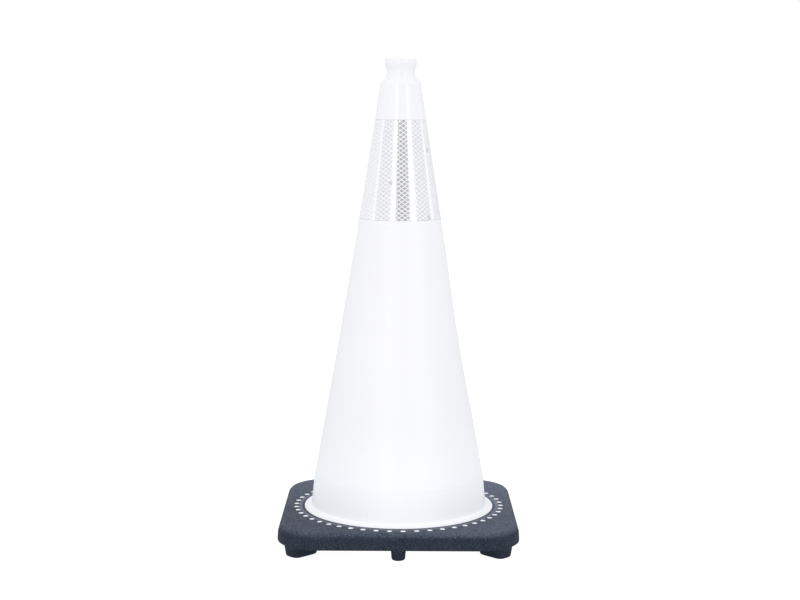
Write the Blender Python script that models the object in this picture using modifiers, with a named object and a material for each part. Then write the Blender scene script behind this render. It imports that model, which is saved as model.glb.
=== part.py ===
"""Traffic cone: a moulded white cone on a heavy black base plate, with a reflective collar.

Metres, +Z up. The origin is on the ground on the cone's axis. The base's flat sides face
X and Y, and its front is at -Y. Every size below can be changed by itself: what fits in,
seats on or lines up with another piece is worked out from the same values.
"""

from math import copysign, cos, pi, radians, sin, sqrt

import bmesh
import bpy
from mathutils import Matrix

# The whole cone
HEIGHT = 0.7112              # ground to the top of the rim
GAP = 0.0003                 # clearance between neighbouring pieces

# Cone wall, from its foot up
WALL = 0.0022
SKIRT_RADIUS = 0.1318        # outer radius at the foot of the wall
SKIRT_FILLET = 0.0050        # between the wall's foot and the locking ring
SKIRT_HEIGHT = 0.0480        # the steeper stretch, from the plate's top to the crease
SKIRT_LEAN = 0.0043          # how far it leans in over that height
WALL_HOLLOW = 0.00226        # how far the wall above bows in from a straight line, half-way up

# Open top, rim, waist and shoulder, measured down from the top
BORE_RADIUS = 0.0187
RIM_OVERHANG = 0.0030        # the rim stands out from the waist by this much
RIM_FILLET = 0.0022
RIM_DEPTH = 0.0082
WAIST_DEPTH = 0.0197
SHOULDER_DEPTH = 0.0321
SHOULDER_ROOT = 0.0038       # widening from the waist down to the shoulder
SHOULDER_FLAT = 0.0018       # the narrow ledge before the shoulder rounds over
SHOULDER_ROUND = 0.0044      # width of that rounding
SHOULDER_DROP = 0.0095       # height of that rounding

# Locking ring: a disc round the cone's foot, held in the base, with studs up through it
LIP_LAND = 0.0058            # flat part seen between the fillet and the ring's edge
LIP_RISE = 0.0010            # how far that part stands above the plate
RING_THICKNESS = 0.0030
SKIN = 0.0028                # thickness of the plate over the ring
STUDS = 50
STUD_RADIUS = 0.0039
STUD_BORDER = 0.0085         # from the lip's edge to a stud
STUD_TURN = 2.5              # degrees from the front (-Y) round to the first stud
RING_BORDER = 0.0071         # from a stud to the ring's hidden edge

# Base plate and its feet
PLATE_BORDER = 0.0100        # from the ring's hidden edge to the plate's side
PLATE_THICKNESS = 0.0229
PLATE_CORNER_RADIUS = 0.0630
PLATE_DRAFT = 0.0014         # how far the sides lean in towards the top
PLATE_TOP_FILLET = 0.0104
PLATE_BOTTOM_FILLET = 0.0020
OPENING_LEAD_IN = 0.0030     # chamfer under the plate's opening, for stacking
FOOT_HEIGHT = 0.0162
FOOT_WIDTH = 0.0207          # where a foot meets the plate
FOOT_TAPER = 0.0013          # how much narrower a foot gets on each side
FOOT_EDGE = 0.0030           # rounding around a foot's tread
FOOT_INSET = 0.0008          # from the plate's side to a foot's outer end
FOOT_ROOT = 0.0040           # how deep a foot's solid runs into the plate
CORNER_FOOT_LENGTH = 0.0570

# Reflective collar: two films bonded together and seated in a shallow recess
COLLAR_DROP = 0.0901         # from the top of the rim down to the band
COLLAR_WIDTH = 0.1453        # height of the band
COLLAR_PROUD = 0.0004        # how far the band stands out of its recess
COLLAR_SEAM = 0.0008         # butt joint down the back
BACKING_FILM = 0.00035
PRISM_FILM = 0.00035

# Fineness of the round shapes
TURN_STEPS = 60
STUD_STEPS = 10
FOOT_STEPS = 16

# Levels and radii that several pieces share
PLATE_TOP = FOOT_HEIGHT + PLATE_THICKNESS
LIP_TOP = PLATE_TOP + LIP_RISE
RING_TOP = PLATE_TOP - SKIN - GAP
RING_BOTTOM = RING_TOP - RING_THICKNESS
CREASE = PLATE_TOP + SKIRT_HEIGHT
SHOULDER_TOP = HEIGHT - SHOULDER_DEPTH
WALL_TOP = SHOULDER_TOP - SHOULDER_DROP
COLLAR_HIGH = HEIGHT - COLLAR_DROP
COLLAR_LOW = COLLAR_HIGH - COLLAR_WIDTH
COLLAR_RECESS = 2 * GAP + BACKING_FILM + PRISM_FILM - COLLAR_PROUD

INNER_RADIUS = SKIRT_RADIUS - WALL
LIP_RADIUS = SKIRT_RADIUS + SKIRT_FILLET + LIP_LAND
STUD_CIRCLE = LIP_RADIUS + STUD_BORDER + STUD_RADIUS
RING_RADIUS = STUD_CIRCLE + STUD_RADIUS + RING_BORDER
PLATE_WIDTH = 2 * (RING_RADIUS + PLATE_BORDER)
OPENING_RADIUS = INNER_RADIUS + GAP

WAIST_RADIUS = BORE_RADIUS + WALL
RIM_RADIUS = WAIST_RADIUS + RIM_OVERHANG
ROOT_RADIUS = WAIST_RADIUS + SHOULDER_ROOT
SHOULDER_RADIUS = ROOT_RADIUS + SHOULDER_FLAT + SHOULDER_ROUND


def wall_radius(z):
    """Outer radius of the cone wall at a height over the crease, on its slightly hollow curve."""
    t = (z - CREASE) / (WALL_TOP - CREASE)
    low = SKIRT_RADIUS - SKIRT_LEAN
    return low + (SHOULDER_RADIUS - low) * t - 4 * WALL_HOLLOW * t * (1 - t)


def steps(low, high, count):
    """Evenly spaced values from low to high, both ends included."""
    return [low + (high - low) * i / count for i in range(count + 1)]


def eased(start, end, count):
    """Points along a smooth half wave from one (radius, height) point to another."""
    points = []
    for t in steps(0, 1, count):
        share = (1 - cos(pi * t)) / 2
        points.append((start[0] + (end[0] - start[0]) * share, start[1] + (end[1] - start[1]) * t))
    return points


def arc(centre, radii, start, end, count):
    """Points along an elliptical arc in the (radius, height) plane."""
    return [
        (centre[0] + radii[0] * cos(angle), centre[1] + radii[1] * sin(angle))
        for angle in steps(start, end, count)
    ]


# Building blocks

def clear_scene():
    for obj in list(bpy.data.objects):
        bpy.data.objects.remove(obj, do_unlink=True)


def new_collection(name):
    collection = bpy.data.collections.new(name)
    bpy.context.scene.collection.children.link(collection)
    return collection


def new_material(name, color, roughness, metallic=0.0):
    material = bpy.data.materials.new(name)
    material.use_nodes = True
    shader = material.node_tree.nodes["Principled BSDF"]
    shader.inputs["Base Color"].default_value = (*color, 1.0)
    shader.inputs["Roughness"].default_value = roughness
    shader.inputs["Metallic"].default_value = metallic
    material.diffuse_color = (*color, 1.0)
    return material


def new_object(name, bm, collection):
    mesh = bpy.data.meshes.new(name)
    bm.to_mesh(mesh)
    bm.free()
    obj = bpy.data.objects.new(name, mesh)
    collection.objects.link(obj)
    return obj


def finish_piece(obj, material):
    """Give a finished piece its material and smooth shading with sharp edges kept."""
    obj.data.materials.append(material)
    obj.data.shade_smooth()
    obj.data.set_sharp_from_angle(angle=pi / 6)


def hide_cutter(obj):
    obj.hide_render = True
    obj.display_type = "WIRE"
    return obj


def line_mesh(points, closed):
    """A bmesh of edges through (radius, height) points, in the XZ plane."""
    bm = bmesh.new()
    verts = [bm.verts.new((radius, 0, height)) for radius, height in points]
    for first, second in zip(verts, verts[1:]):
        bm.edges.new((first, second))
    if closed:
        bm.edges.new((verts[-1], verts[0]))
    return bm


def add_screw(obj, angle=2 * pi):
    screw = obj.modifiers.new("Turn", "SCREW")
    screw.axis = "Z"
    screw.angle = angle
    screw.steps = TURN_STEPS
    screw.render_steps = TURN_STEPS
    screw.use_merge_vertices = angle == 2 * pi
    screw.merge_threshold = 0.00001
    screw.use_smooth_shade = True


def turned(name, outline, collection):
    """A solid of revolution. Its outline runs down the outer side first, and closes on
    itself unless it starts and ends on the axis."""
    on_axis = outline[0][0] == outline[-1][0] == 0
    obj = new_object(name, line_mesh(outline, closed=not on_axis), collection)
    add_screw(obj)
    return obj


def stud_circle(name, radius, low, high, collection):
    """A circle of upright pins, all in one object."""
    bm = bmesh.new()
    for i in range(STUDS):
        turn = Matrix.Rotation(2 * pi * i / STUDS + radians(STUD_TURN) - pi / 2, 4, "Z")
        place = turn @ Matrix.Translation((STUD_CIRCLE, 0, (low + high) / 2))
        bmesh.ops.create_cone(
            bm, cap_ends=True, segments=STUD_STEPS, radius1=radius, radius2=radius,
            depth=high - low, matrix=place,
        )
    return hide_cutter(new_object(name, bm, collection))


def add_boolean(obj, other, operation):
    boolean = obj.modifiers.new(operation.title(), "BOOLEAN")
    boolean.operation = operation
    boolean.solver = "EXACT"
    boolean.object = other


# The white moulding

def neck_outline():
    """Rim, waist and rounded shoulder, from the top down to the wall."""
    rim_centre = (RIM_RADIUS - RIM_FILLET, HEIGHT - RIM_FILLET)
    rim_low = (RIM_RADIUS, HEIGHT - RIM_DEPTH)
    waist = (WAIST_RADIUS, HEIGHT - WAIST_DEPTH)
    root = (ROOT_RADIUS, SHOULDER_TOP)
    shoulder_centre = (ROOT_RADIUS + SHOULDER_FLAT, WALL_TOP)
    outline = arc(rim_centre, (RIM_FILLET, RIM_FILLET), pi / 2, 0, 3)
    outline += eased(rim_low, waist, 4)
    outline += eased(waist, root, 4)[1:]
    outline += arc(shoulder_centre, (SHOULDER_ROUND, SHOULDER_DROP), pi / 2, 0, 4)
    return outline


def wall_outline():
    """The tapered wall under the shoulder, with the collar's shallow recess cut into it."""
    recess_high = COLLAR_HIGH + GAP
    recess_low = COLLAR_LOW - GAP
    outline = [
        (wall_radius(recess_high), recess_high),
        (wall_radius(recess_high) - COLLAR_RECESS, recess_high),
        (wall_radius(recess_low) - COLLAR_RECESS, recess_low),
        (wall_radius(recess_low), recess_low),
    ]
    outline += [(wall_radius(z), z) for z in steps(recess_low, CREASE, 4)[1:]]
    return outline


def ring_outline():
    """The foot's fillet, the lip seen above the plate, and the disc held inside the plate."""
    lip_edge = LIP_RISE / 2
    fillet_centre = (SKIRT_RADIUS + SKIRT_FILLET, LIP_TOP + SKIRT_FILLET)
    outline = arc(fillet_centre, (SKIRT_FILLET, SKIRT_FILLET), pi, 3 * pi / 2, 4)
    outline += [
        (LIP_RADIUS - lip_edge, LIP_TOP),
        (LIP_RADIUS, LIP_TOP - lip_edge),
        (LIP_RADIUS, RING_TOP),
        (RING_RADIUS, RING_TOP),
        (RING_RADIUS, RING_BOTTOM),
        (INNER_RADIUS, RING_BOTTOM),
    ]
    return outline


def inner_outline():
    """The inside of the moulding, from the bottom up to the open top."""
    outline = [(INNER_RADIUS, LIP_TOP + SKIRT_FILLET)]
    outline += [(wall_radius(z) - WALL, z) for z in steps(CREASE, WALL_TOP - WALL, 5)]
    outline += [
        (ROOT_RADIUS, SHOULDER_TOP - WALL),
        (BORE_RADIUS, SHOULDER_TOP - WALL / 2),
        (BORE_RADIUS, HEIGHT),
    ]
    return outline


def make_cone_body(parts, cutters):
    outline = neck_outline() + wall_outline() + ring_outline() + inner_outline()
    body = turned("cone_body", outline, parts)
    studs = stud_circle("ring_studs", STUD_RADIUS, RING_TOP - RING_THICKNESS / 2, PLATE_TOP, cutters)
    add_boolean(body, studs, "UNION")
    finish_piece(body, new_material("white PVC moulding", (0.86, 0.87, 0.89), 0.28))
    return body


# The black base

def loop_edges(bm, height):
    """The edges that lie flat at a height."""
    return [e for e in bm.edges if all(abs(v.co.z - height) < 1e-6 for v in e.verts)]


def plate_mesh():
    """A square plate with round corners, sides that lean in, and rounded top and bottom edges."""
    bm = bmesh.new()
    bmesh.ops.create_cube(bm, size=1.0)
    for vert in bm.verts:
        lean = PLATE_DRAFT if vert.co.z > 0 else 0
        vert.co.x = copysign(PLATE_WIDTH / 2 - lean, vert.co.x)
        vert.co.y = copysign(PLATE_WIDTH / 2 - lean, vert.co.y)
        vert.co.z = PLATE_TOP if vert.co.z > 0 else FOOT_HEIGHT
    uprights = [e for e in bm.edges if abs(e.verts[0].co.z - e.verts[1].co.z) > PLATE_THICKNESS / 2]
    bmesh.ops.bevel(bm, geom=uprights, offset=PLATE_CORNER_RADIUS, segments=8, profile=0.5, affect="EDGES")
    for height, radius, segments in (
        (PLATE_TOP, PLATE_TOP_FILLET, 4),
        (FOOT_HEIGHT, PLATE_BOTTOM_FILLET, 2),
    ):
        edges = loop_edges(bm, height)
        bmesh.ops.bevel(bm, geom=edges, offset=radius, segments=segments, profile=0.5, affect="EDGES")
    return bm


def foot_mesh(length, place):
    """A tapered foot, oblong where its length is over its width, with a rounded tread."""
    top = FOOT_HEIGHT + FOOT_ROOT
    slope = FOOT_TAPER / FOOT_HEIGHT
    bm = bmesh.new()
    bmesh.ops.create_cone(
        bm, cap_ends=True, segments=FOOT_STEPS, radius1=FOOT_WIDTH / 2 - FOOT_TAPER,
        radius2=FOOT_WIDTH / 2 + slope * FOOT_ROOT, depth=top,
        matrix=Matrix.Translation((0, 0, top / 2)) @ Matrix.Rotation(pi / FOOT_STEPS, 4, "Z"),
    )
    for vert in bm.verts:
        vert.co.x += copysign((length - FOOT_WIDTH) / 2, vert.co.x)
    bmesh.ops.bevel(bm, geom=loop_edges(bm, 0), offset=FOOT_EDGE, segments=3, profile=0.5, affect="EDGES")
    bm.transform(place)
    return bm


def foot_places():
    """Length and placing of every foot: one along each corner's diagonal, one under each side."""
    half = PLATE_WIDTH / 2
    corner_reach = half * sqrt(2) - PLATE_CORNER_RADIUS * (sqrt(2) - 1)
    places = []
    for quarter in range(4):
        for reach, length, turn in (
            (corner_reach, CORNER_FOOT_LENGTH, pi / 4),
            (half, FOOT_WIDTH, 0),
        ):
            middle = reach - FOOT_INSET - length / 2
            angle = quarter * pi / 2 + turn
            places.append((length, Matrix.Rotation(angle, 4, "Z") @ Matrix.Translation((middle, 0, 0))))
    return places


def pocket_outline():
    """The space cut out of the plate: the opening, the ring's pocket and the hole in the skin."""
    return [
        (0, PLATE_TOP + SKIN),
        (LIP_RADIUS + GAP, PLATE_TOP + SKIN),
        (LIP_RADIUS + GAP, RING_TOP + GAP),
        (RING_RADIUS + GAP, RING_TOP + GAP),
        (RING_RADIUS + GAP, RING_BOTTOM - GAP),
        (OPENING_RADIUS, RING_BOTTOM - GAP),
        (OPENING_RADIUS, FOOT_HEIGHT + OPENING_LEAD_IN),
        (OPENING_RADIUS + OPENING_LEAD_IN, FOOT_HEIGHT),
        (OPENING_RADIUS + OPENING_LEAD_IN, FOOT_HEIGHT - SKIN),
        (0, FOOT_HEIGHT - SKIN),
    ]


def make_base_plate(parts, cutters):
    plate = new_object("base_plate", plate_mesh(), parts)
    add_boolean(plate, hide_cutter(turned("ring_pocket", pocket_outline(), cutters)), "DIFFERENCE")
    holes = stud_circle("stud_holes", STUD_RADIUS + GAP, RING_TOP - RING_THICKNESS / 2, PLATE_TOP + SKIN, cutters)
    add_boolean(plate, holes, "DIFFERENCE")
    for number, (length, place) in enumerate(foot_places(), start=1):
        foot = hide_cutter(new_object(f"foot_{number}", foot_mesh(length, place), cutters))
        add_boolean(plate, foot, "UNION")
    finish_piece(plate, new_material("black recycled PVC", (0.035, 0.040, 0.052), 0.75))
    return plate


# The reflective collar

def make_film(name, thickness, inset, material, parts):
    """A film wrapped round the cone, its inner face an inset above the recess's floor."""
    low = (wall_radius(COLLAR_LOW) - COLLAR_RECESS + inset, COLLAR_LOW)
    high = (wall_radius(COLLAR_HIGH) - COLLAR_RECESS + inset, COLLAR_HIGH)
    film = new_object(name, line_mesh([high, low], closed=False), parts)
    seam_angle = COLLAR_SEAM / low[0]
    film.rotation_euler.z = pi / 2 + seam_angle / 2
    add_screw(film, angle=2 * pi - seam_angle)
    shell = film.modifiers.new("Thickness", "SOLIDIFY")
    shell.thickness = thickness
    shell.offset = 1
    shell.use_even_offset = True
    finish_piece(film, material)
    return film


def make_collar(parts):
    white = new_material("white backing film", (0.80, 0.80, 0.80), 0.45)
    silver = new_material("silver prismatic film", (0.42, 0.44, 0.48), 0.22, metallic=0.4)
    make_film("collar_backing_film", BACKING_FILM, GAP, white, parts)
    make_film("collar_prism_film", PRISM_FILM, 2 * GAP + BACKING_FILM, silver, parts)


def main():
    clear_scene()
    parts = new_collection("traffic cone")
    cutters = new_collection("cutters")
    make_cone_body(parts, cutters)
    make_base_plate(parts, cutters)
    make_collar(parts)


main()
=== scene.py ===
# %% [markdown]
# # A white traffic cone in the studio
# The design is already fixed: a moulded cone, a heavy plate and a two-ply reflective band,
# packed as solids in one shared frame. This lesson dresses that frame. Each plain solid
# gets a finer piece in the same place, and each finish is built from shader nodes.
# We start by loading the frame and keeping its box, because nothing here may change its size.

from math import atan, cos, pi, radians, sin, sqrt

import bmesh
import bpy
import numpy as np
from mathutils import Matrix, Vector


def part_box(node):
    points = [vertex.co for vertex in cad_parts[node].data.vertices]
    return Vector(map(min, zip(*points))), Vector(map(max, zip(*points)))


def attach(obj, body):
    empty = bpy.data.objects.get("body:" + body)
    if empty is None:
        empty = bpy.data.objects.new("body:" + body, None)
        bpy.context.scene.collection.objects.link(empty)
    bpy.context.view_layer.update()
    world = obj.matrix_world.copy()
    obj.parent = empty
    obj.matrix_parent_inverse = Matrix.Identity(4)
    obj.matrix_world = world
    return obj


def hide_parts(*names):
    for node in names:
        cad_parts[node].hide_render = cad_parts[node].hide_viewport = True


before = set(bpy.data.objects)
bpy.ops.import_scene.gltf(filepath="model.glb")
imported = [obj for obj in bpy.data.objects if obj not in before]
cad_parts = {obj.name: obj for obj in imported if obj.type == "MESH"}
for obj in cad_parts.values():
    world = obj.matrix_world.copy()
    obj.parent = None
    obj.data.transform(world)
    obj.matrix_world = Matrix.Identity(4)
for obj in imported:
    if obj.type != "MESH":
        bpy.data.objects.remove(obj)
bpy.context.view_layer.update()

# %% [markdown]
# ## Reading the levels off the frame
# A piece goes where its solid is. The boxes of the four solids give the plate's levels, the
# ring's reach, the band's two edges and the top of the rim, so they are asked for, not
# typed. What a box can't tell, such as a fillet or a wall thickness, is a named value.

# %% Levels and radii from the solids
MM = 0.001

body_low, body_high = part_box("cone_body")
plate_low, plate_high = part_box("base_plate")
film_low, film_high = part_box("collar_prism_film")

top = body_high.z
plate_top = plate_high.z
ring_radius = body_high.x
ring_bottom = body_low.z
plate_half = plate_high.x
band_low = film_low.z
band_high = film_high.z
print("top", round(top, 4), "plate", round(plate_top, 4))
print("band", round(band_low, 4), "to", round(band_high, 4))

# %% The measures that a box doesn't give
foot_height = 15.4 * MM
wall = 2.2 * MM
gap = 0.3 * MM

skirt_radius = 131.8 * MM
skirt_fillet = 5.0 * MM
lip_radius = 142.6 * MM
lip_top = plate_top + 1.0 * MM
ring_top = plate_top - 3.1 * MM
crease = plate_top + 48.0 * MM
crease_radius = skirt_radius - 4.3 * MM

bore_radius = 18.7 * MM
waist_radius = bore_radius + wall
rim_radius = waist_radius + 3.0 * MM
root_radius = waist_radius + 3.8 * MM
shoulder_radius = root_radius + 6.2 * MM
shoulder_top = top - 32.1 * MM
shoulder_drop = 9.5 * MM
wall_top = shoulder_top - shoulder_drop
wall_hollow = 2.26 * MM


def wall_radius(z):
    """Outer radius of the wall over the crease, which bows in a little from a straight line."""
    t = (z - crease) / (wall_top - crease)
    return crease_radius + (shoulder_radius - crease_radius) * t - 4 * wall_hollow * t * (1 - t)


print("wall radius at the band", round(wall_radius(band_low), 4), round(wall_radius(band_high), 4))

# %% [markdown]
# ## Small tools for outlines and meshes
# Everything round on this cone is turned, so one helper spins an outline of (radius, height)
# points round the upright axis. Outlines are short lists joined by arcs and eased curves: an
# arc for a fillet, a half wave for the waist. Smooth shading with sharp edges kept by angle
# lets a fillet roll while an edge stays crisp.

# %% Outline and mesh helpers
FINE_STEPS = 288
SHARP_ANGLE = radians(34)


def spread(start, end, count):
    """count + 1 evenly spaced values, both ends included."""
    return [start + (end - start) * i / count for i in range(count + 1)]


def arc(centre, radii, start, end, count):
    """An elliptical arc in the (radius, height) plane."""
    return [
        (centre[0] + radii[0] * cos(angle), centre[1] + radii[1] * sin(angle))
        for angle in spread(start, end, count)
    ]


def eased(start, end, count):
    """A smooth half wave from one (radius, height) point to another."""
    points = []
    for t in spread(0, 1, count):
        share = (1 - cos(pi * t)) / 2
        points.append((start[0] + (end[0] - start[0]) * share, start[1] + (end[1] - start[1]) * t))
    return points


def smooth(obj):
    """Smooth shading, with edges over SHARP_ANGLE kept sharp."""
    obj.data.shade_smooth()
    obj.data.set_sharp_from_angle(angle=SHARP_ANGLE)
    return obj


def add_piece(name, bm):
    """Turn a bmesh into an object of the scene."""
    bmesh.ops.recalc_face_normals(bm, faces=bm.faces)
    mesh = bpy.data.meshes.new(name)
    bm.to_mesh(mesh)
    bm.free()
    obj = bpy.data.objects.new(name, mesh)
    bpy.context.scene.collection.objects.link(obj)
    return smooth(obj)


def turn(outline, count=FINE_STEPS, angle=2 * pi, start=0.0):
    """A bmesh turned from a closed outline. Short of a full turn, its two ends are capped."""
    bm = bmesh.new()
    verts = [bm.verts.new((radius, 0, z)) for radius, z in outline]
    edges = [bm.edges.new(pair) for pair in zip(verts, verts[1:] + verts[:1])]
    whole = angle == 2 * pi
    made = bmesh.ops.spin(
        bm, geom=verts + edges, cent=(0, 0, 0), axis=(0, 0, 1), dvec=(0, 0, 0),
        angle=angle, steps=count, use_merge=whole, use_duplicate=False,
    )
    if not whole:
        last = [item for item in made["geom_last"] if isinstance(item, bmesh.types.BMVert)]
        bm.faces.new(verts)
        bm.faces.new(last)
    bm.transform(Matrix.Rotation(start, 4, "Z"))
    return bm


# %% [markdown]
# ## The white moulding
# On the real cone the neck, the wall and the disc at its foot are one shot of soft PVC. We
# turn it from one closed outline that runs down the outside and back up the inside, so that
# the wall has its true thickness and the open top looks into a real hollow.
# The band sits in a recess under a millimetre deep, which gives its edges their fine line.

# %% The moulding's outline
def neck_outline():
    """Rounded rim, waist, and a flare that rolls over into the shoulder, from the top down."""
    rim_round = 2.2 * MM
    rim_low = (rim_radius, top - 6.4 * MM)
    waist = (waist_radius, top - 18.6 * MM)
    shoulder_round = 5.5 * MM
    centre = (shoulder_radius - shoulder_round, wall_top)
    shoulder_arc = arc(centre, (shoulder_round, shoulder_drop), pi / 3, 0, 12)
    flare_end = shoulder_arc[0]
    flare_power = 2.8
    outline = arc((rim_radius - rim_round, top - rim_round), (rim_round, rim_round), pi / 2, 0, 8)
    outline += eased(rim_low, waist, 12)
    for t in spread(0, 1, 16)[1:-1]:
        radius = waist_radius + (flare_end[0] - waist_radius) * t**flare_power
        outline.append((radius, waist[1] + (flare_end[1] - waist[1]) * t))
    outline += shoulder_arc
    return outline


def wall_outline(recess):
    """The tapered wall with the band's recess, down to the crease."""
    high = band_high + gap
    low = band_low - gap
    upper = [(wall_radius(z), z) for z in spread(wall_top, high, 6)[1:]]
    floor = [(wall_radius(z) - recess, z) for z in spread(high, low, 16)]
    lower = [(wall_radius(z), z) for z in spread(low, crease, 40)]
    return upper + floor + lower


def foot_outline():
    """The steeper skirt, its fillet, the lip over the plate and the disc held inside it."""
    edge = 0.7 * MM
    centre = (skirt_radius + skirt_fillet, lip_top + skirt_fillet)
    skirt_low = lip_top + skirt_fillet
    skirt = [
        (crease_radius + (skirt_radius - crease_radius) * t, crease + (skirt_low - crease) * t)
        for t in spread(0, 1, 6)[1:-1]
    ]
    fillet = arc(centre, (skirt_fillet, skirt_fillet), pi, 3 * pi / 2, 10)
    lip = arc((lip_radius - edge, lip_top - edge), (edge, edge), pi / 2, 0, 4)
    held = [
        (lip_radius, ring_top),
        (ring_radius, ring_top),
        (ring_radius, ring_bottom),
        (skirt_radius - wall, ring_bottom),
    ]
    return skirt + fillet + lip + held


def inner_outline():
    """Back up the inside to the open top, with a small rounding at the bore's mouth."""
    mouth = 0.8 * MM
    shoulder_reach = 3.4 * MM
    outline = [(skirt_radius - wall, lip_top + skirt_fillet)]
    outline += [(wall_radius(z) - wall, z) for z in spread(crease, wall_top - wall, 40)]
    outline += arc(
        (root_radius, wall_top - wall / 2), (shoulder_reach, shoulder_drop - wall), 0, pi / 2, 8
    )
    outline += [(bore_radius, shoulder_top - wall / 2)]
    outline += arc((bore_radius + mouth, top - mouth), (mouth, mouth), pi, pi / 2, 4)
    return outline


band_recess = 0.9 * MM
outer_skin = neck_outline() + wall_outline(band_recess) + foot_outline()
moulding = add_piece("moulded_cone", turn(outer_skin + inner_outline()))
print("outline", len(outer_skin), "points outside,", len(inner_outline()), "inside")

# %% [markdown]
# A new cone is never quite round. Soft PVC keeps the lean it got where it was gripped or
# stacked, so one side of the wall is pressed in by a couple of millimetres at mid height.
# The push fades out smoothly round the cone and up and down, and the band stays true.

# %% Press one side in and place the moulding
def press_side(obj, depth, direction, height, reach):
    """Push the wall in by a depth, most at one height, fading out over a reach each way."""
    towards = Vector((sin(direction), -cos(direction), 0))
    for vert in obj.data.vertices:
        out = Vector((vert.co.x, vert.co.y, 0))
        facing = max(out.normalized().dot(towards), 0)
        fall = max(1 - ((vert.co.z - height) / reach) ** 2, 0)
        vert.co -= towards * (depth * facing**2 * fall**2)


press_side(moulding, depth=2.4 * MM, direction=radians(90), height=0.292, reach=0.150)
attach(moulding, "root")
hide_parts("cone_body")
print("moulding", len(moulding.data.polygons), "faces")

# %% [markdown]
# ## The studs that lock the two halves
# The disc carries a ring of studs that come up through holes in the plate, and their ends
# show as white dots. They belong to the same moulding. Each one is a little turned pin with
# a worn, slightly domed end. One pin is made once and copied round the ring by a loop.

# %% The ring of studs
STUDS = 50
PIN_SIDES = 24
stud_radius = 3.9 * MM
stud_circle = 155.0 * MM
stud_turn = radians(2.5)
stud_proud = 0.1 * MM


def stud_place(number, z):
    """Where a stud stands: its number round the ring, and a height."""
    around = Matrix.Rotation(2 * pi * number / STUDS + stud_turn - pi / 2, 4, "Z")
    return around @ Matrix.Translation((stud_circle, 0, z))


def pin_mesh(bm, place, radius, low, high):
    """One domed pin, turned in place: side, rounded edge and a low dome."""
    edge = 0.5 * MM
    rings = [(radius, low), (radius, high - edge)]
    rings += arc((radius - edge, high - edge), (edge, edge * 0.8), pi / 6, pi / 2, 3)
    rings += [((radius - edge) * 0.5, high - edge * 0.12)]
    angles = spread(0, 2 * pi, PIN_SIDES)[:-1]
    loops = [
        [bm.verts.new(place @ Vector((r * cos(a), r * sin(a), z))) for a in angles]
        for r, z in rings
    ]
    for lower, upper in zip(loops, loops[1:]):
        for i in range(PIN_SIDES):
            j = (i + 1) % PIN_SIDES
            bm.faces.new((lower[i], lower[j], upper[j], upper[i]))
    bm.faces.new(loops[0][::-1])
    bm.faces.new(loops[-1])


studs_bm = bmesh.new()
for number in range(STUDS):
    pin_low, pin_high = ring_top + stud_proud, plate_top + stud_proud
    pin_mesh(studs_bm, stud_place(number, 0), stud_radius, pin_low, pin_high)
studs = add_piece("locking_studs", studs_bm)
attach(studs, "root")
print("studs", STUDS, "pins,", len(studs.data.polygons), "faces")

# %% [markdown]
# ## The base plate and its feet
# The plate is one thick moulding of recycled PVC: a square with big round corners, a soft
# roll along its top edge and eight feet under it. We bevel a block for the plate, cut the
# opening, the ring's pocket and the stud holes with Booleans, and join the feet on.
# Each Boolean is applied at once, so that the piece ends as one plain mesh.

# %% The plate's block and its cutters
plate_corner = 63.0 * MM
plate_draft = 1.4 * MM
plate_roll = 10.4 * MM
plate_under_roll = 2.0 * MM
CORNER_STEPS = 28


def flat_edges(bm, z):
    """The edges that lie level at a height."""
    return [edge for edge in bm.edges if all(abs(vert.co.z - z) < 1e-6 for vert in edge.verts)]


def round_edges(bm, edges, radius, count):
    """Roll edges over with a bevel of a given radius and number of steps."""
    bmesh.ops.bevel(bm, geom=edges, offset=radius, segments=count, profile=0.5, affect="EDGES")


def plate_block():
    """The square block with leaning sides, round corners and rolled edges."""
    bm = bmesh.new()
    bmesh.ops.create_cube(bm, size=2.0)
    for vert in bm.verts:
        upper = vert.co.z > 0
        reach = plate_half - (plate_draft if upper else 0)
        vert.co = (vert.co.x * reach, vert.co.y * reach, plate_top if upper else foot_height)
    uprights = [e for e in bm.edges if abs(e.verts[0].co.z - e.verts[1].co.z) > foot_height]
    round_edges(bm, uprights, plate_corner, CORNER_STEPS)
    round_edges(bm, flat_edges(bm, plate_top), plate_roll, 10)
    round_edges(bm, flat_edges(bm, foot_height), plate_under_roll, 4)
    return bm


def pocket():
    """The room inside the plate for the opening, the held disc and the lip."""
    opening = skirt_radius - wall + gap
    lead_in = 3.0 * MM
    clear = 5.0 * MM
    return turn([
        (0.5 * opening, plate_top + clear),
        (lip_radius + gap, plate_top + clear),
        (lip_radius + gap, ring_top + gap),
        (ring_radius + gap, ring_top + gap),
        (ring_radius + gap, ring_bottom - gap),
        (opening, ring_bottom - gap),
        (opening, foot_height + lead_in),
        (opening + lead_in, foot_height),
        (opening + lead_in, foot_height - clear),
        (0.5 * opening, foot_height - clear),
    ])


def core():
    """A plain plug for the middle of the opening, inside the pocket's own ring."""
    radius = 0.7 * skirt_radius
    bm = bmesh.new()
    bmesh.ops.create_cone(
        bm, cap_ends=True, segments=48, radius1=radius, radius2=radius,
        depth=2 * plate_top, matrix=Matrix.Translation((0, 0, plate_top / 2)),
    )
    return bm


def stud_holes():
    """A hole for each stud, wider than it by the gap."""
    radius = stud_radius + gap
    bm = bmesh.new()
    for number in range(STUDS):
        bmesh.ops.create_cone(
            bm, cap_ends=True, segments=PIN_SIDES, radius1=radius, radius2=radius,
            depth=10 * MM, matrix=stud_place(number, plate_top),
        )
    return bm


print("stud holes", STUDS, "of radius", round((stud_radius + gap) / MM, 1), "mm")

# %% [markdown]
# The feet keep the plate off wet ground. The ones under the sides are short round pegs, and
# the ones under the corners are longer and boxier, laid along the diagonal. One recipe
# makes both: a tapered cylinder whose outline is pushed out towards a square, pulled apart
# in the middle to its length, and rounded round its tread.

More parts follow.
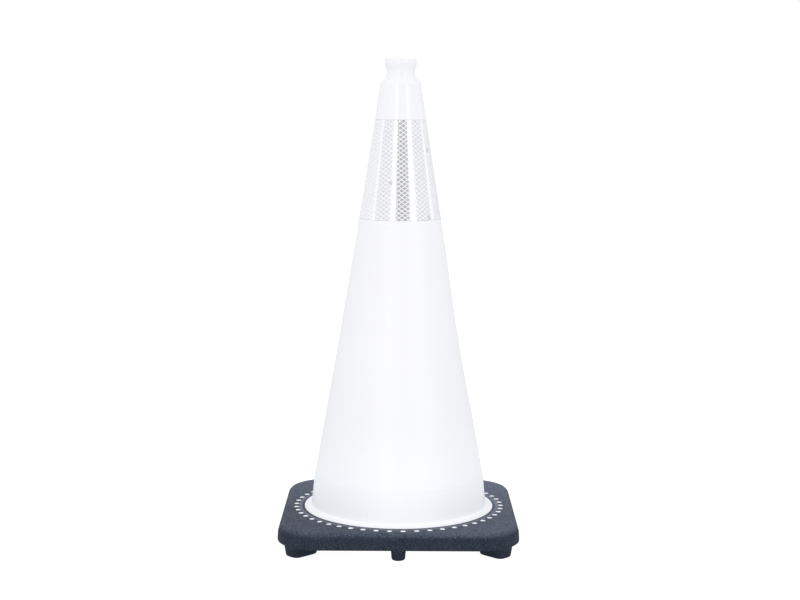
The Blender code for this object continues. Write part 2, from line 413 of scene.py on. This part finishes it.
# %% The feet
FOOT_SIDES = 40
foot_root = 4.0 * MM
tread_round = 3.0 * MM
foot_inset = 0.8 * MM


def foot(length, width, taper, squareness, place):
    """A tapered foot with a rounded tread: round at squareness 2, boxier above it."""
    height = foot_height + foot_root
    bm = bmesh.new()
    bmesh.ops.create_cone(
        bm, cap_ends=True, segments=FOOT_SIDES, radius1=width / 2 - taper,
        radius2=width / 2 + taper * foot_root / foot_height, depth=height,
        matrix=Matrix.Translation((0, 0, height / 2)) @ Matrix.Rotation(pi / FOOT_SIDES, 4, "Z"),
    )
    for vert in bm.verts:
        x, y = abs(vert.co.x), abs(vert.co.y)
        bulge = sqrt(x * x + y * y) / (x**squareness + y**squareness) ** (1 / squareness)
        vert.co.xy *= bulge
        vert.co.x += (length - width) / 2 * (1 if vert.co.x > 0 else -1)
    round_edges(bm, flat_edges(bm, 0), tread_round, 6)
    bm.transform(place)
    return bm


def feet():
    """One foot along each corner's diagonal and one under the middle of each side."""
    corner_reach = plate_half * sqrt(2) - plate_corner * (sqrt(2) - 1)
    kinds = (
        (corner_reach, 49.0 * MM, 32.0 * MM, 2.2 * MM, 3.0, pi / 4),
        (plate_half, 22.0 * MM, 22.0 * MM, 1.4 * MM, 2.0, 0),
    )
    for quarter in range(4):
        for reach, length, width, taper, squareness, turned in kinds:
            around = Matrix.Rotation(quarter * pi / 2 + turned, 4, "Z")
            out = Matrix.Translation((reach - foot_inset - length / 2, 0, 0))
            yield foot(length, width, taper, squareness, around @ out)


print("feet", round(foot_height / MM, 1), "mm high")


# %% Put the plate together
def combine(obj, bm, operation):
    """Apply one Boolean with a throw-away tool made from a bmesh."""
    tool = add_piece("tool", bm)
    modifier = obj.modifiers.new("Boolean", "BOOLEAN")
    modifier.operation = operation
    modifier.solver = "EXACT"
    modifier.object = tool
    graph = bpy.context.evaluated_depsgraph_get()
    mesh = bpy.data.meshes.new_from_object(obj.evaluated_get(graph))
    obj.modifiers.clear()
    old, obj.data = obj.data, mesh
    bpy.data.meshes.remove(old)
    tool_mesh = tool.data
    bpy.data.objects.remove(tool)
    bpy.data.meshes.remove(tool_mesh)


plate = add_piece("weighted_plate", plate_block())
for cutter in (core(), pocket(), stud_holes()):
    combine(plate, cutter, "DIFFERENCE")
for extra in feet():
    combine(plate, extra, "UNION")
smooth(plate)
even = plate.modifiers.new("Even shading", "WEIGHTED_NORMAL")
even.keep_sharp = True
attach(plate, "root")
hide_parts("base_plate")
print("plate", len(plate.data.polygons), "faces")

# %% [markdown]
# ## The reflective band
# The band is flat sheeting, cut as a slice of a ring and wrapped round the cone, so its
# pattern is straight on the cut sheet and bends only when it is wrapped. A clear film full
# of tiny prisms is welded to a white film along a net of lines, which leaves low pillows
# shaped like diamonds. Drawing the net with a shader alone would look flat from the side,
# so the net is real: we lay out the mesh along the two families of weld lines on the flat
# sheet, lift the middle of each diamond, trim the sheet and then wrap it.

# %% The flat sheet and its wrapping
DIAMOND_WIDTH = 9.19 * MM
DIAMOND_HEIGHT = 6.55 * MM
NET_TURN = radians(1.4)
NET_ORIGIN = (1.38 * MM, 2.89 * MM)
WELD_WIDTH = 1.25 * MM
PILLOW = 0.012 * MM
PILLOW_EDGE = 0.16
PILLOW_STOP = 0.22
FILM = 0.30 * MM
seam_gap = 0.8 * MM

low_radius = wall_radius(band_low)
high_radius = wall_radius(band_high)
half_angle = atan((low_radius - high_radius) / (band_high - band_low))
slant_low = low_radius / sin(half_angle)
slant_high = high_radius / sin(half_angle)
slant_middle = (slant_low + slant_high) / 2
edge_turn = (pi - seam_gap / 2 / low_radius) * sin(half_angle)
weld_pitch = DIAMOND_WIDTH * DIAMOND_HEIGHT / sqrt(DIAMOND_WIDTH**2 + DIAMOND_HEIGHT**2)
weld_share = WELD_WIDTH / 2 / weld_pitch
print("cone half angle", round(half_angle * 180 / pi, 2), "degrees")
print("sheet", round((slant_low - slant_high) / MM, 1), "mm deep")


def net_from_flat(u, v):
    """Flat sheet to net: diamonds centre on whole numbers, and welds run half-way between."""
    along = (u * cos(NET_TURN) + v * sin(NET_TURN) - NET_ORIGIN[0]) / DIAMOND_WIDTH
    up = (v * cos(NET_TURN) - u * sin(NET_TURN) - NET_ORIGIN[1]) / DIAMOND_HEIGHT
    return up + along, up - along


def flat_from_net(p, q):
    """Net to flat sheet, the same turn and shift undone."""
    along = (p - q) / 2 * DIAMOND_WIDTH + NET_ORIGIN[0]
    up = (p + q) / 2 * DIAMOND_HEIGHT + NET_ORIGIN[1]
    return along * cos(NET_TURN) - up * sin(NET_TURN), up * cos(NET_TURN) + along * sin(NET_TURN)


def wrapped(turned, slant, lift):
    """A point of the sheet, given by its turn and slant on the flat, placed on the cone."""
    around = turned / sin(half_angle)
    z = band_low + (slant_low - slant) * cos(half_angle)
    radius = wall_radius(z) + lift * cos(half_angle)
    return Vector((radius * sin(around), -radius * cos(around), z + lift * sin(half_angle)))


# %% The mesh along the weld lines
def net_stops(first, last):
    """Grid lines in net units: each weld's two edges, and a few stops across each pillow."""
    offsets = (-0.5, weld_share - 0.5, -PILLOW_STOP, 0.0, PILLOW_STOP, 0.5 - weld_share)
    return np.array([cell + offset for cell in range(first, last) for offset in offsets])


def pillow_lift(p, q):
    """How far the sheet stands up at a place in the net: 0 on a weld, a low cushion between."""
    across = np.minimum(0.5 - np.abs(p - np.round(p)), 0.5 - np.abs(q - np.round(q)))
    rise = np.clip((across - weld_share) / PILLOW_EDGE, 0, 1)
    return PILLOW * np.sin(rise * pi / 2)


def net_sheet():
    """The whole sheet as (turn, slant, lift), with its net place kept in a UV map."""
    reach = int(slant_low / min(DIAMOND_WIDTH, DIAMOND_HEIGHT)) + 2
    stops = net_stops(-reach, reach)
    p, q = (axis.ravel() for axis in np.meshgrid(stops, stops, indexing="ij"))
    u, v = flat_from_net(p, q)
    turned, slant = np.arctan2(u, slant_middle - v), np.hypot(u, slant_middle - v)
    margin = 2 * DIAMOND_WIDTH
    inside = (slant > slant_high - margin) & (slant < slant_low + margin)
    inside &= np.abs(turned) < edge_turn + margin / slant_high
    number = np.full(inside.size, -1)
    number[inside] = np.arange(inside.sum())
    side = stops.size
    corner = np.arange(side * side).reshape(side, side)
    corners = [corner[:-1, :-1], corner[1:, :-1], corner[1:, 1:], corner[:-1, 1:]]
    quads = number[np.stack(corners, -1).reshape(-1, 4)]
    quads = quads[(quads >= 0).all(axis=1)]
    points = np.stack([turned, slant, pillow_lift(p, q)], -1)[inside]
    mesh = bpy.data.meshes.new("sheet")
    mesh.from_pydata(points.tolist(), [], quads.tolist())
    return mesh


sheet_mesh = net_sheet()
print("sheet before trimming", len(sheet_mesh.polygons), "faces")


# %% Trim the sheet, wrap it and turn its edges in
def trim(bm, point, normal):
    """Cut away what lies on the far side of a line on the flat sheet."""
    everything = bm.verts[:] + bm.edges[:] + bm.faces[:]
    bmesh.ops.bisect_plane(
        bm, geom=everything, plane_co=point, plane_no=normal, dist=1e-7, clear_outer=True
    )


def band_film():
    """The trimmed sheet with its net UVs and turned-in edges, wrapped on the cone."""
    bm = bmesh.new()
    bm.from_mesh(sheet_mesh)
    trim(bm, (0, slant_low, 0), (0, 1, 0))
    trim(bm, (0, slant_high, 0), (0, -1, 0))
    trim(bm, (edge_turn, 0, 0), (1, 0, 0))
    trim(bm, (-edge_turn, 0, 0), (-1, 0, 0))
    layer = bm.loops.layers.uv.new("net")
    for face in bm.faces:
        for loop in face.loops:
            turned, slant, _ = loop.vert.co
            u, v = slant * sin(turned), slant_middle - slant * cos(turned)
            loop[layer].uv = net_from_flat(u, v)
    rim = [edge for edge in bm.edges if edge.is_boundary]
    made = bmesh.ops.extrude_edge_only(bm, edges=rim)["geom"]
    for item in made:
        if isinstance(item, bmesh.types.BMVert):
            item.co.z = -FILM
    for vert in bm.verts:
        vert.co = wrapped(*vert.co)
    return bm


prism_film = add_piece("prism_film", band_film())
bpy.data.meshes.remove(sheet_mesh)
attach(prism_film, "root")
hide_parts("collar_prism_film")
print("prism film", len(prism_film.data.polygons), "faces")

# %% The white film behind it
def backing_outline():
    """A thin strip under the prisms, from its outer face to its inner one."""
    outer, thickness = -0.45 * MM, 0.30 * MM
    heights = spread(band_high, band_low, 24)
    outside = [(wall_radius(z) + outer, z) for z in heights]
    inside = [(wall_radius(z) + outer - thickness, z) for z in reversed(heights)]
    return outside + inside


seam_angle = seam_gap / low_radius
backing_strip = turn(backing_outline(), angle=2 * pi - seam_angle, start=pi / 2 + seam_angle / 2)
backing = add_piece("backing_film", backing_strip)
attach(backing, "root")
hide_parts("collar_backing_film")
print("backing film", len(backing.data.polygons), "faces")

# %% [markdown]
# ## Writing shaders as formulas
# A finish is a small network of nodes. Wiring it one link at a time hides the idea, so one
# class wraps a socket and gives it arithmetic: adding two sockets adds a Math node, and
# `1 - mask` works too. Colours go through a Mix node, because a Math node would turn them
# grey. Every other node comes from one method that takes its type, settings and inputs.

# %% One class for shader maths
class Wire:
    """An output socket of a material, with Python arithmetic that adds Math nodes."""

    def __init__(self, tree, socket=None):
        self.tree = tree
        self.socket = socket

    def node(self, kind, settings=None, inputs=None, output=0):
        """Add any node: its settings first, then the values or links of its sockets."""
        made = self.tree.nodes.new("ShaderNode" + kind)
        for name, value in (settings or {}).items():
            if name == "stops":
                fill_ramp(made.color_ramp, value)
            else:
                setattr(made, name, value)
        for name, value in (inputs or {}).items():
            self.feed(made.inputs[name], value)
        return Wire(self.tree, made.outputs[output])

    def feed(self, socket, value):
        if isinstance(value, Wire):
            self.tree.links.new(value.socket, socket)
        else:
            socket.default_value = value

    def math(self, operation, *values, clamp=False):
        inputs = dict(enumerate(values))
        return self.node("Math", {"operation": operation, "use_clamp": clamp}, inputs)

    def __add__(self, other):
        return self.math("ADD", self, other)

    def __sub__(self, other):
        return self.math("SUBTRACT", self, other)

    def __rsub__(self, other):
        return self.math("SUBTRACT", other, self)

    def __mul__(self, other):
        return self.math("MULTIPLY", self, other)

    def __truediv__(self, other):
        return self.math("DIVIDE", self, other)

    __radd__ = __add__
    __rmul__ = __mul__

    def step(self, low, high):
        """0 below low, 1 above high and a smooth ramp between. Swapped ends turn it round."""
        settings = {"interpolation_type": "SMOOTHSTEP"}
        rising = high > low
        ends = {"From Min": min(low, high), "From Max": max(low, high)}
        ends.update({"To Min": 0.0 if rising else 1.0, "To Max": 1.0 if rising else 0.0})
        return self.node("MapRange", settings, {"Value": self, **ends})

    def mix(self, color_off, color_on):
        """Between two colours, by this mask."""
        inputs = {0: self, 6: color_off, 7: color_on}
        return self.node("Mix", {"data_type": "RGBA"}, inputs, output=2)


def fill_ramp(ramp, stops):
    """Set a colour ramp's stops from (position, colour) pairs."""
    while len(ramp.elements) > 1:
        ramp.elements.remove(ramp.elements[-1])
    ramp.elements[0].position = stops[0][0]
    ramp.elements[0].color = stops[0][1]
    for position, color in stops[1:]:
        ramp.elements.new(position).color = color


def new_finish(name, constants):
    """A material with its Principled shader's plain values set. Gives (material, wire, shader)."""
    material = bpy.data.materials.new(name)
    material.use_nodes = True
    shader = material.node_tree.nodes["Principled BSDF"]
    for socket, value in constants.items():
        shader.inputs[socket].default_value = value
    return material, Wire(material.node_tree), shader


def rgb(red, green, blue):
    return (red, green, blue, 1.0)


def part_of(wire, vector, index):
    """One part of a vector: 0 for x, 1 for y, 2 for z."""
    return wire.node("SeparateXYZ", None, {"Vector": vector}, output=index)


def noise(wire, place, scale, detail=3.0, roughness=0.5, stretch=None):
    """A noise value from 0 to 1. The scale is in lumps a metre."""
    if stretch:
        place = wire.node("VectorMath", {"operation": "MULTIPLY"}, {0: place, 1: stretch})
    inputs = {"Vector": place, "Scale": scale, "Detail": detail, "Roughness": roughness}
    return wire.node("TexNoise", None, inputs)


def bump(wire, height, depth):
    """A Bump normal from a height of 0 to 1, with its real depth in metres."""
    return wire.node("Bump", None, {"Height": height, "Distance": depth, "Strength": 1.0})


def wear(obj, material):
    """Give a piece its one finish."""
    obj.data.materials.clear()
    obj.data.materials.append(material)


# %% [markdown]
# ## Glossy white PVC
# The moulding is a soft PVC with a wet-looking skin. Pure flat white reads as paint on a
# screen, so the colour drifts a little between a clean white and a cooler, handled one,
# rubs a little grey where cones scrape each other, and its skin has the faint ripple of a
# moulded part. The foot of the wall is painted lighter and cooler, as painted light that
# offsets the shade of the dark plate below, and faces turned up get less of it. A faint
# witness line runs round the crease, and the wall below the band is duller, where stacked
# cones slide over it. The marks are kept very light, because this cone is nearly new.

# %% The white finish
def white_pvc():
    constants = {"Specular IOR Level": 0.5, "IOR": 1.5}
    material, wire, shader = new_finish("glossy white PVC", constants)
    place = wire.node("TexCoord", output=3)
    height = part_of(wire, place, 2)
    drift = noise(wire, place, 9.0, detail=4.0)
    handled = noise(wire, place, 46.0, detail=6.0, roughness=0.65)
    scrapes = noise(wire, place, 60.0, detail=5.0, roughness=0.6, stretch=(1.0, 1.0, 0.08))
    specks = noise(wire, place, 850.0, detail=2.0)
    facing = wire.node("NewGeometry", output=1)
    upward = part_of(wire, facing, 2).step(0.5, 0.9)
    # low marks the foot of the wall: it carries the painted light there and also gathers rubs and
    # dust.
    low = height.step(0.19, 0.05) * (1 - upward * 0.6)
    rubbed = scrapes.step(0.62, 0.78) * (low * 0.4 + 0.08)
    dust = specks.step(0.72, 0.80) * (low * 0.35 + 0.15)
    color = drift.step(0.35, 0.7).mix(rgb(0.870, 0.867, 0.870), rgb(0.863, 0.860, 0.865))
    color = (handled.step(0.45, 0.8) * 0.4).mix(color, rgb(0.85, 0.852, 0.866))
    # Painted light: the foot of the wall is lifted to a lighter, cooler white against the dark
    # plate's shade.
    color = (low * 0.9).mix(color, rgb(0.930, 0.955, 0.965))
    from_crease = wire.math("ABSOLUTE", height - crease)
    witness = from_crease.step(0.7 * MM, 0.2 * MM) * drift.step(0.38, 0.55)
    color = (witness * 0.3).mix(color, rgb(0.78, 0.80, 0.83))
    color = (rubbed * 0.5).mix(color, rgb(0.55, 0.56, 0.58))
    color = (dust * 0.5).mix(color, rgb(0.42, 0.42, 0.43))
    wire.feed(shader.inputs["Base Color"], color)
    stacked = height.step(band_high, band_low)
    wire.feed(shader.inputs["Roughness"], 0.08 + handled * 0.08 + rubbed * 0.2 + stacked * 0.24)
    ripple = noise(wire, place, 120.0, detail=2.0) * 0.6 + specks * 0.2 - witness * 0.5
    wire.feed(shader.inputs["Normal"], bump(wire, ripple, 0.00004))
    return material


white = white_pvc()
wear(moulding, white)
wear(studs, white)
print(white.name, len(white.node_tree.nodes), "nodes")

# %% [markdown]
# ## Grainy black PVC
# The plate is pressed from ground-up scrap, so its black has a blue-grey cast and a fine
# pebbled skin with lighter crumbs in it. The grain is a bump from two sizes of noise, and
# the crumbs are a colour change. Pale dust lies only where the skin faces up and lodges in
# the grain, and on those faces a painted sheen grows towards the back and one side. The
# feet under the plate are painted darker as shade. Round the lip the tool leaves a smoother
# track with less grain, and its paler colour is a painted reflection. We find the track from
# the distance to the axis.

# %% The black finish
def black_pvc():
    constants = {"Specular IOR Level": 0.18, "IOR": 1.5}
    material, wire, shader = new_finish("grainy black PVC", constants)
    place = wire.node("TexCoord", output=3)
    x = part_of(wire, place, 0)
    y = part_of(wire, place, 1)
    # Painted shade: the feet, below the plate's underside, are marked for darkening as shade under
    # the plate.
    painted_foot_shade = part_of(wire, place, 2).step(foot_height, foot_height * 0.7)
    facing = wire.node("NewGeometry", output=1)
    upward = part_of(wire, facing, 2).step(0.35, 1.0)
    from_axis = wire.math("SQRT", x * x + y * y)
    track = from_axis.step(0.1455, 0.1480) * from_axis.step(0.1525, 0.1500)
    pebbles = noise(wire, place, 520.0, detail=3.0, roughness=0.6)
    crumbs = noise(wire, place, 560.0, detail=4.0, roughness=0.8)
    grit = noise(wire, place, 150.0, detail=4.0, roughness=0.75)
    patches = noise(wire, place, 30.0, detail=5.0, roughness=0.65)
    color = patches.step(0.25, 0.75).mix(rgb(0.011, 0.018, 0.033), rgb(0.018, 0.026, 0.042))
    color = (pebbles.step(0.50, 0.36) * 0.75).mix(color, rgb(0.009, 0.014, 0.024))
    color = (crumbs.step(0.50, 0.64) * 0.8).mix(color, rgb(0.068, 0.080, 0.100))
    # Painted shade on the feet under the plate.
    color = (painted_foot_shade * 0.55).mix(color, rgb(0.008, 0.013, 0.023))
    # Painted sheen: the top faces are lightened towards the back and towards +X.
    painted_sheen = y.step(-0.06, 0.16) * 0.082 + x.step(-0.12, 0.17) * 0.045
    lodged = grit.step(0.36, 0.64) * 0.075 + crumbs.step(0.44, 0.62) * 0.10
    # The patches and lodged grit are dust, and the drift towards the back and side is painted
    # sheen.
    dust_and_sheen = patches * 0.02 + lodged + painted_sheen
    color = (upward * dust_and_sheen).mix(color, rgb(0.47, 0.52, 0.68))
    # Painted reflection: the smooth track round the lip is lightened and tinted blue.
    color = (track * 0.40).mix(color, rgb(0.225, 0.258, 0.330))
    wire.feed(shader.inputs["Base Color"], color)
    wire.feed(shader.inputs["Roughness"], 0.62 + pebbles * 0.2 - track * 0.2)
    grain = (pebbles * 0.75 + crumbs * 0.25) * (1 - track * 0.75)
    wire.feed(shader.inputs["Normal"], bump(wire, grain, 0.0007))
    return material


black = black_pvc()
wear(plate, black)
print(black.name, len(black.node_tree.nodes), "nodes")

# %% [markdown]
# ## Prismatic film
# Between the welds the prisms look silver-grey, because they throw light back to where it
# came from, and only a camera beside a lamp sees them shine. Along the welds the white
# film shows through. The mask comes from the net's own UV map, so the colour and the
# pillows can't slip apart. Over both lies a clear glossy skin, which is a coat.

# %% The band's two finishes
SMUDGES = ((62.0, 0.577, 5.5 * MM), (-14.5, 0.530, 5.0 * MM), (44.5, 0.4795, 4.5 * MM))


def smudge_mask(wire, place):
    """Soft, uneven dirty marks at (degrees round from the front, height, size)."""
    ragged = noise(wire, place, 420.0, detail=4.0, roughness=0.7)
    mask = None
    for degrees, z, size in SMUDGES:
        radius = wall_radius(z)
        centre = (radius * sin(radians(degrees)), -radius * cos(radians(degrees)), z)
        ends = {0: place, 1: centre}
        away = wire.node("VectorMath", {"operation": "DISTANCE"}, ends, output=1)
        mark = (away + ragged * size).step(size * 1.45, size * 0.75)
        mask = mark if mask is None else wire.math("MAXIMUM", mask, mark)
    return mask


def prismatic():
    constants = {"Coat Roughness": 0.07, "Coat IOR": 1.5, "Coat Weight": 1.0, "IOR": 1.5}
    material, wire, shader = new_finish("silver prismatic film", constants)
    place = wire.node("TexCoord", output=3)
    net = wire.node("UVMap", {"uv_map": "net"})
    p = part_of(wire, net, 0)
    q = part_of(wire, net, 1)
    to_weld_p = wire.math("ABSOLUTE", wire.math("FRACT", p) - 0.5)
    to_weld_q = wire.math("ABSOLUTE", wire.math("FRACT", q) - 0.5)
    nearest = wire.math("MINIMUM", to_weld_p, to_weld_q)
    weld = nearest.step(weld_share * 1.15, weld_share * 0.85)
    shimmer = noise(wire, place, 700.0, detail=2.0)
    tone = noise(wire, place, 60.0, detail=3.0)
    dirt = smudge_mask(wire, place)
    cell = tone.step(0.3, 0.7).mix(rgb(0.760, 0.762, 0.785), rgb(0.785, 0.787, 0.808))
    cell = (shimmer.step(0.4, 0.7) * 0.12).mix(cell, rgb(0.86, 0.86, 0.87))
    color = weld.mix(cell, rgb(0.86, 0.86, 0.865))
    color = (dirt * 0.6).mix(color, rgb(0.42, 0.41, 0.40))
    wire.feed(shader.inputs["Base Color"], color)
    wire.feed(shader.inputs["Metallic"], (1 - weld) * (1 - dirt * 0.6) * 0.9)
    wire.feed(shader.inputs["Roughness"], 0.16 + weld * 0.34 + shimmer * 0.03)
    wire.feed(shader.inputs["Normal"], bump(wire, shimmer, 0.000006))
    return material


def white_vinyl():
    material, wire, shader = new_finish("white vinyl film", {"Specular IOR Level": 0.45})
    place = wire.node("TexCoord", output=3)
    calender = noise(wire, place, 500.0, detail=2.0)
    yellowing = noise(wire, place, 40.0, detail=3.0)
    color = yellowing.step(0.3, 0.8).mix(rgb(0.82, 0.82, 0.82), rgb(0.79, 0.78, 0.75))
    wire.feed(shader.inputs["Base Color"], color)
    wire.feed(shader.inputs["Roughness"], 0.42 + calender * 0.15)
    wire.feed(shader.inputs["Normal"], bump(wire, calender, 0.00004))
    return material


silver = prismatic()
wear(prism_film, silver)
vinyl = white_vinyl()
wear(backing, vinyl)
for finish in (silver, vinyl):
    print(finish.name, len(finish.node_tree.nodes), "nodes")

# %% [markdown]
# ## The studio
# White plastic on white needs care: too much light and it vanishes. The cone stands on a
# pale floor in a bright, nearly even studio. Shiny things show what is round them, so the
# studio itself has a shape: tall light strips either side of the camera and a darker gap
# between them. That gap is what makes the band's diamonds stand out in the middle.
# It is a ramp over the compass direction in the world shader, turned so that its middle
# faces the front. Only mirrored rays see it. Soft light comes from a second, even ramp that
# turns cooler towards the back, which rounds the white wall gently. Camera rays see plain
# white, so every view has a clean backdrop. A low, wide fill in front lights the foot and
# the plate's front, and it is hidden from mirrored rays, so that it leaves no glare.

# %% Floor
def make_floor():
    """A wide pale sheet that glows white for the camera and only softly for the cone."""
    size = 6.0
    bm = bmesh.new()
    bmesh.ops.create_grid(bm, x_segments=1, y_segments=1, size=size)
    obj = add_piece("studio_floor", bm)
    constants = {"Roughness": 0.85, "Specular IOR Level": 0.1, "Emission Strength": 1.0}
    material, wire, shader = new_finish("pale lit floor", constants)
    place = wire.node("TexCoord", output=3)
    paper = noise(wire, place, 3.0, detail=3.0).step(0.3, 0.7)
    seen = wire.node("LightPath", output=0)
    wire.feed(shader.inputs["Base Color"], paper.mix(rgb(0.17, 0.17, 0.17), rgb(0.19, 0.19, 0.19)))
    glow = paper.mix(rgb(0.97, 0.97, 0.97), rgb(0.98, 0.98, 0.98))
    wire.feed(shader.inputs["Emission Color"], seen.mix(rgb(0.64, 0.65, 0.68), glow))
    wear(obj, material)
    return obj


floor = make_floor()
print("floor", floor.name)

# %% World
REFLECTED = (
    (-180, 0.92),
    (-135, 1.02),
    (-86, 1.10),
    (-83, 1.45),
    (-80, 1.45),
    (-76, 0.96),
    (-16, 0.96),
    (-12, 0.55),
    (27, 0.55),
    (32, 0.95),
    (99, 0.95),
    (103, 1.45),
    (107, 1.45),
    (110, 1.04),
    (140, 0.92),
    (180, 0.82),
)
SOFT = ((-180, 1.00), (-100, 1.02), (-40, 1.11), (40, 1.11), (100, 1.02), (180, 1.00))
BRIGHTEST = 2.0
BACKDROP = 0.525
COOL_FROM = 30
COOL_SPAN = 90


def cool(value, share):
    """A grey that turns slightly blue by a share."""
    return rgb(value * (1 - 0.05 * share), value * (1 - 0.03 * share), value * (1 + 0.05 * share))


def ring_of_light(wire, around, directions, coolness):
    """A colour ramp round the horizon, cooler towards the back."""
    stops = []
    for degrees, level in directions:
        behind = min(max(abs(degrees) - COOL_FROM, 0) / COOL_SPAN, 1)
        stops.append((0.5 + degrees / 360, cool(level / BRIGHTEST, coolness * behind)))
    return wire.node("ValToRGB", {"stops": stops}, {"Fac": around})


def studio_world():
    """A world ramp by compass direction, in degrees from the front towards +X."""
    world = bpy.data.worlds.new("studio")
    bpy.context.scene.world = world
    world.use_nodes = True
    tree = world.node_tree
    wire = Wire(tree)
    place = wire.node("TexCoord", output=0)
    turned = wire.node("Mapping", None, {"Vector": place, "Rotation": (0, 0, pi / 2)})
    around = wire.node("TexGradient", {"gradient_type": "RADIAL"}, {"Vector": turned}, output=1)
    glossy = wire.node("LightPath", output=3)
    seen = wire.node("LightPath", output=0)
    soft = ring_of_light(wire, around, SOFT, 1.0)
    reflected = ring_of_light(wire, around, REFLECTED, 0.2)
    light = glossy.mix(soft, reflected)
    shown = seen.mix(light, rgb(BACKDROP, BACKDROP, BACKDROP))
    background = tree.nodes["Background"]
    wire.feed(background.inputs["Color"], shown)
    background.inputs["Strength"].default_value = BRIGHTEST
    return world


world = studio_world()
print("world", world.name, "with", len(REFLECTED) + len(SOFT), "stops")

# %% Softboxes
def add_softbox(name, location, target, size, radiance):
    """A rectangular area light. Its power follows from its size and how bright its face is."""
    light = bpy.data.lights.new(name, "AREA")
    light.shape = "RECTANGLE"
    light.size, light.size_y = size
    light.energy = radiance * pi * size[0] * size[1]
    obj = bpy.data.objects.new(name, light)
    bpy.context.scene.collection.objects.link(obj)
    obj.location = location
    direction = Vector(target) - Vector(location)
    obj.rotation_euler = direction.to_track_quat("-Z", "Y").to_euler()
    return obj


def add_strip(name, first, last, low, high, distance, radiance):
    """A tall softbox between two compass directions and two heights, facing the band."""
    middle = radians((first + last) / 2)
    width = 2 * distance * sin(radians(last - first) / 2)
    location = (distance * sin(middle), -distance * cos(middle), (low + high) / 2)
    return add_softbox(name, location, (0, 0, (low + high) / 2), (width, high - low), radiance)


overhead = add_softbox("overhead", (0.0, 0.2, 2.6), (0, 0, 0), (2.4, 2.4), 0.08)
fill = add_softbox("low fill", (0.0, -2.8, 0.42), (0, 0, 0.35), (3.0, 0.8), 1.2)
strip_room = {"low": 0.25, "high": 1.75, "distance": 2.0}
left_strip = add_strip("left strip", -25.0, -14.5, radiance=1.35, **strip_room)
right_strip = add_strip("right strip", 31.0, 44.5, radiance=1.42, **strip_room)
fill.visible_glossy = False
for strip in (left_strip, right_strip):
    strip.visible_diffuse = False
for box in (overhead, fill, left_strip, right_strip):
    print(box.name, round(box.data.energy, 1), "W")

# %% [markdown]
# ## The camera
# A long lens from a little over two metres away, just under the height of the cone's top
# and tipped down by seven degrees. At that distance the taper stays honest, and the plate
# shows its top face and its front together. The tiny roll is the real camera's own.

# %% Camera
CAMERA_PLACE = (0.0006, -2.3601, 0.6409)
CAMERA_TILT = 6.965
CAMERA_ROLL = 0.2821
LENS_MM = 71.33

camera_data = bpy.data.cameras.new("camera")
camera_data.lens = LENS_MM
camera_data.sensor_width = 36.0
camera = bpy.data.objects.new("camera", camera_data)
bpy.context.scene.collection.objects.link(camera)
camera.matrix_world = (
    Matrix.Translation(CAMERA_PLACE)
    @ Matrix.Rotation(radians(90 - CAMERA_TILT), 4, "X")
    @ Matrix.Rotation(radians(CAMERA_ROLL), 4, "Z")
)
bpy.context.scene.camera = camera
bpy.context.scene.view_settings.view_transform = "Standard"
print("camera", LENS_MM, "mm")
